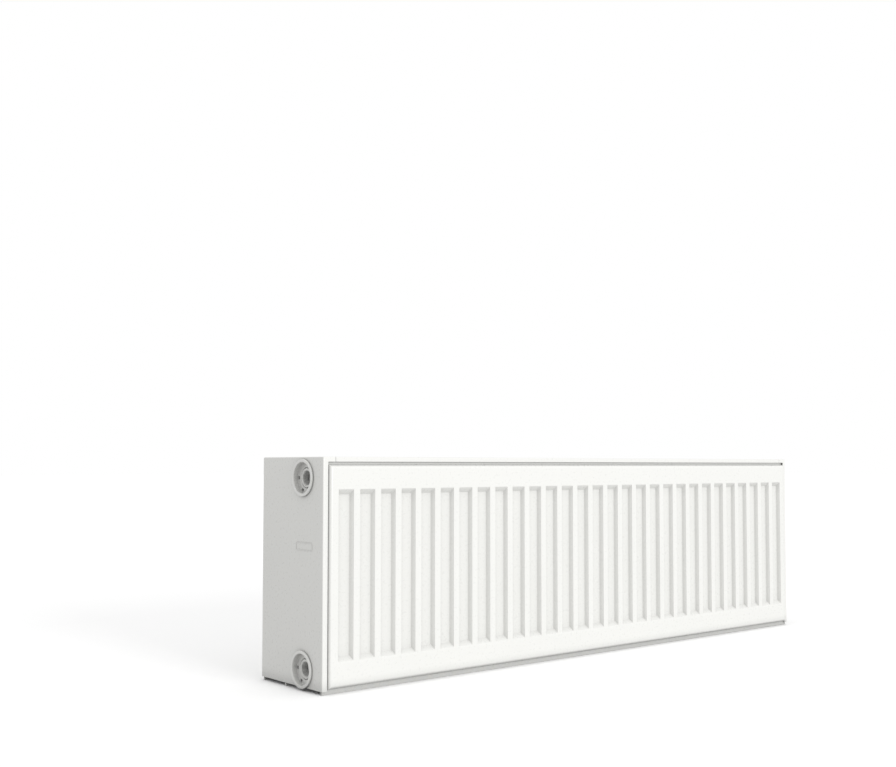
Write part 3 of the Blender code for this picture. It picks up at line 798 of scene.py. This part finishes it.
def make_tees():
    """The tappings: threaded barrel with a cross stub that feeds the front and middle panels."""
    low, high = TEE_BOX
    barrel_mesh = threaded_barrel()
    barrel_mesh.transform(Matrix.Translation((SOCKET_X, 0, 0)) @ Z_TO_X)
    barrel = add_helper(barrel_mesh)
    reach = (high.y - low.y) / 2
    across = Matrix.Translation((STUB_X, 0, 0)) @ Matrix.Rotation(math.pi / 2, 4, "X")
    stub_mesh = cylinder_mesh(STUB_RADIUS, -reach, reach)
    bore_mesh = cylinder_mesh(WATERWAY, -reach - 0.001, reach + 0.001)
    stub_mesh.transform(across)
    bore_mesh.transform(across)
    stub = add_helper(stub_mesh)
    bore = add_helper(bore_mesh)
    add_boolean(barrel, stub, "UNION")
    add_boolean(barrel, bore)
    mesh = applied(barrel)
    remove_all([stub, bore])
    shade(mesh, 40)
    for side, turn in (("left", math.pi), ("right", 0)):
        for level, height in TAP_HEIGHTS.items():
            place = Matrix.Translation((0, TAP_Y, height)) @ Matrix.Rotation(turn, 4, "Z")
            stand_in(f"socket_{side}_{level}", mesh.copy(), f"tapping_tee_{side}_{level}", place)


def slot_prism(centre_x, low_y, high_y):
    """A prism with round corners through the grille's plate, for one slot."""
    bm = bmesh.new()
    points = round_rectangle(SLOT_WIDTH, high_y - low_y, SLOT_CORNER)
    centre_y = (low_y + high_y) / 2
    start = TOP_Z - SLOT_CUT
    face = bm.faces.new([bm.verts.new((centre_x + x, centre_y + y, start)) for x, y in points])
    raise_faces(bm, [face], (0, 0, 2 * SLOT_CUT))
    return mesh_from(bm, "slot")


def make_grille():
    """The top grille: a plate with two rows of round-cornered slots and folded long edges."""
    bm = open_box(GRILLE_LOW, GRILLE_HIGH, lambda normal: normal.z < -0.5 or abs(normal.x) > 0.5)
    drop_loose(bm)
    grille = folded(bm)
    slots = []
    for index in range(SLOT_COUNT):
        centre = (index - (SLOT_COUNT - 1) / 2) * SLOT_PITCH
        for low, high in SLOT_ROWS:
            slots.append(slot_prism(centre, from_front(low), from_front(high)))
    cutter = add_helper(joined(slots))
    add_boolean(grille, cutter)
    mesh = applied(grille)
    remove_all([cutter])
    shade(mesh, 40)
    stand_in("slotted_grille", mesh, "top_grille")


def on_axis(level, outwards=0.0):
    """Places a piece that was made on Z onto a right-hand tapping's axis, Z outwards."""
    place = Matrix.Translation((SOCKET_X + outwards, TAP_Y, TAP_HEIGHTS[level]))
    return place @ Z_TO_X


def seal_mesh(major, minor):
    """A ring of round section on Z."""
    outline = []
    steps = 20
    for step in range(steps):
        angle = -2 * math.pi * step / steps
        outline.append((major + minor * math.cos(angle), minor * math.sin(angle)))
    mesh = mesh_from(turned_bm(outline, 64), "seal")
    shade(mesh, 60)
    return mesh


def make_vent_body():
    """The bleed valve's body: hexagon, a shank drawn without its thread and holding the bleed hole, and the
    needle's seat.
    """
    outline = [
        (NECK_RADIUS, NECK_END),
        (NECK_RADIUS, FLANGE_END),
        (FLANGE_RADIUS, FLANGE_END),
        (FLANGE_RADIUS, FLANGE_START),
        (SHANK_RADIUS, FLANGE_START),
        (SHANK_RADIUS, SHANK_END),
        (BLEED_BORE, SHANK_END),
        (BLEED_BORE, SEAT_START),
        (SPINDLE_BORE, SEAT_END),
        (SPINDLE_BORE, NECK_END),
    ]
    body = add_helper(mesh_from(turned_bm(softened(outline, 0.0005)), "vent_body"))
    hexagon_size = (FLANGE_RADIUS + HEX_CLEARANCE, FLANGE_START - HEX_OVERRUN, FLANGE_END + HEX_OVERRUN)
    hexagon = add_helper(cylinder_mesh(*hexagon_size, 6))
    waste = add_helper(cylinder_mesh(0.02, FLANGE_START - HEX_CLEARANCE, FLANGE_END + HEX_CLEARANCE, 48))
    add_boolean(waste, hexagon)
    cutter = add_helper(applied(waste))
    add_boolean(body, cutter)
    mesh = applied(body)
    remove_all([hexagon, cutter])
    shade(mesh, 40)
    stand_in("bleed_valve_body", mesh, "vent_body", on_axis("top"))


def make_plug():
    """The blanking plug: a flange with a hexagon socket, and a ridged shank."""
    outline = [
        (0, FLANGE_END),
        (FLANGE_RADIUS, FLANGE_END),
        (FLANGE_RADIUS, FLANGE_START),
        (SHANK_RADIUS, FLANGE_START),
    ]
    for crest in range(PLUG_THREAD_CRESTS):
        depth = PLUG_THREAD_START - crest * THREAD_PITCH
        outline.append((SHANK_RADIUS, depth))
        outline.append((SHANK_RADIUS - PLUG_THREAD_DEPTH, depth - THREAD_PITCH / 2))
    outline.append((SHANK_RADIUS - PLUG_THREAD_DEPTH, SHANK_END))
    outline.append((0, SHANK_END))
    plug = add_helper(mesh_from(turned_bm(softened(outline, 0.0004)), "plug"))
    recess = add_helper(cylinder_mesh(PLUG_KEY_RADIUS, -PLUG_KEY_DEPTH, FLANGE_END + 0.001, 6))
    add_boolean(plug, recess)
    mesh = applied(plug)
    remove_all([recess])
    shade(mesh, 40)
    stand_in("plug_body", mesh, "blanking_plug", on_axis("bottom"))


def make_seals():
    """The three seals, each as big as its CAD ring."""
    seals = (
        ("vent_washer", "vent_body_seal", "top"),
        ("plug_washer", "blanking_plug_seal", "bottom"),
        ("needle_ring", "vent_spindle_seal", "top"),
    )
    for name, node, level in seals:
        low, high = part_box(node)
        minor = (high.x - low.x) / 2
        major = (high.z - low.z) / 2 - minor
        outwards = (low.x + high.x) / 2 - SOCKET_X
        stand_in(name, seal_mesh(major, minor), node, on_axis(level, outwards))


def make_needle():
    """The needle's spindle: a cone, a groove for its ring and a square end for the key."""
    shoulder, groove_start, groove_end, end = SPINDLE_LEVELS
    outline = [
        (0, end),
        (SPINDLE_RADIUS, end),
        (SPINDLE_RADIUS, groove_end),
        (SPINDLE_NECK, groove_end),
        (SPINDLE_NECK, groove_start),
        (SPINDLE_RADIUS, groove_start),
        (SPINDLE_RADIUS, shoulder),
        (0, SPINDLE_TIP),
    ]
    spindle = add_helper(mesh_from(turned_bm(softened(outline, 0.0002), 64), "spindle"))
    low = (-SQUARE_HALF, -SQUARE_HALF, SQUARE_START)
    high = (SQUARE_HALF, SQUARE_HALF, SQUARE_END)
    key = add_helper(box_mesh(low, high))
    add_bevel(key, 0.0003, 3)
    add_boolean(spindle, key, "UNION")
    mesh = applied(spindle)
    remove_all([key])
    shade(mesh, 40)
    stand_in("needle_with_square", mesh, "vent_spindle", on_axis("top"))


def make_nozzle():
    """The plastic ring that turns on the vent's neck, with its spout."""
    outline = [
        (NOZZLE_OUTER, NOZZLE_END),
        (NOZZLE_OUTER, NOZZLE_START),
        (NOZZLE_INNER, NOZZLE_START),
        (NOZZLE_INNER, NOZZLE_END),
    ]
    nozzle = add_helper(mesh_from(turned_bm(softened(outline, 0.0005)), "nozzle"))
    aim = Matrix.Translation((0, 0, (NOZZLE_START + NOZZLE_END) / 2)) @ Z_TO_X
    spout_mesh = cylinder_mesh(SPOUT_RADIUS, *SPOUT_REACH, 40)
    hole_mesh = cylinder_mesh(SPOUT_BORE, *SPOUT_BORE_REACH, 32)
    spout_mesh.transform(aim)
    hole_mesh.transform(aim)
    spout = add_helper(spout_mesh)
    hole = add_helper(hole_mesh)
    add_boolean(nozzle, spout, "UNION")
    add_boolean(nozzle, hole)
    mesh = applied(nozzle)
    remove_all([spout, hole])
    shade(mesh, 40)
    stand_in("outlet_nozzle", mesh, "vent_nozzle", on_axis("top"))


def paint_frame():
    """The CAD pieces that stay get their own finish."""
    for name, node in frame["nodes"].items():
        node.data.materials.clear()
        node.data.materials.append(MATERIALS[SLOT_OF[name]])


# ---------------------------------------------------------------- stage


def make_floor():
    bm = bmesh.new()
    bmesh.ops.create_grid(bm, x_segments=1, y_segments=1, size=30)
    floor = bpy.data.objects.new("floor", mesh_from(bm, "floor"))
    bpy.context.scene.collection.objects.link(floor)
    material, nodes, links, shader = new_material("pale_floor")
    seen = nodes.new("ShaderNodeLightPath").outputs["Is Camera Ray"]
    links.new(remap(nodes, links, seen, FLOOR_BOUNCE, FLOOR_SEEN, 0, 1), shader.inputs["Base Color"])
    shader.inputs["Roughness"].default_value = 0.6
    shader.inputs["Specular IOR Level"].default_value = 0.0
    floor.data.materials.append(material)
    floor.location = (0, 0, CAD_BOUNDS[0][2])


def make_lights():
    world = bpy.data.worlds.new("studio")
    bpy.context.scene.world = world
    world.use_nodes = True
    background = world.node_tree.nodes["Background"]
    background.inputs["Color"].default_value = (1, 1, 1, 1)
    seen = world.node_tree.nodes.new("ShaderNodeLightPath")
    level = world.node_tree.nodes.new("ShaderNodeMapRange")
    level.inputs["To Min"].default_value = SKY_LIGHT
    level.inputs["To Max"].default_value = BACKDROP
    world.node_tree.links.new(seen.outputs["Is Camera Ray"], level.inputs["Value"])
    world.node_tree.links.new(level.outputs["Result"], background.inputs["Strength"])
    sun = bpy.data.lights.new("key", "SUN")
    sun.energy = KEY_LIGHT
    sun.angle = math.radians(KEY_SPREAD)
    lamp = bpy.data.objects.new("key", sun)
    bpy.context.scene.collection.objects.link(lamp)
    lamp.rotation_euler = Vector(KEY_TOWARDS).to_track_quat("-Z", "Y").to_euler()
    bpy.context.scene.view_settings.view_transform = "Standard"


def make_camera():
    data = bpy.data.cameras.new("camera")
    data.lens = CAMERA_LENS
    data.sensor_width = 36
    data.shift_x, data.shift_y = CAMERA_SHIFT
    camera = bpy.data.objects.new("camera", data)
    bpy.context.scene.collection.objects.link(camera)
    camera.location = CAMERA_PLACE
    camera.rotation_euler = (math.radians(90 + CAMERA_TILT), 0, -math.radians(CAMERA_HEADING))
    bpy.context.scene.camera = camera


make_camera()
make_lights()
make_floor()
paint_frame()
make_sheets()
make_covers()
make_collars()
make_tees()
make_grille()
make_vent_body()
make_plug()
make_seals()
make_needle()
make_nozzle()
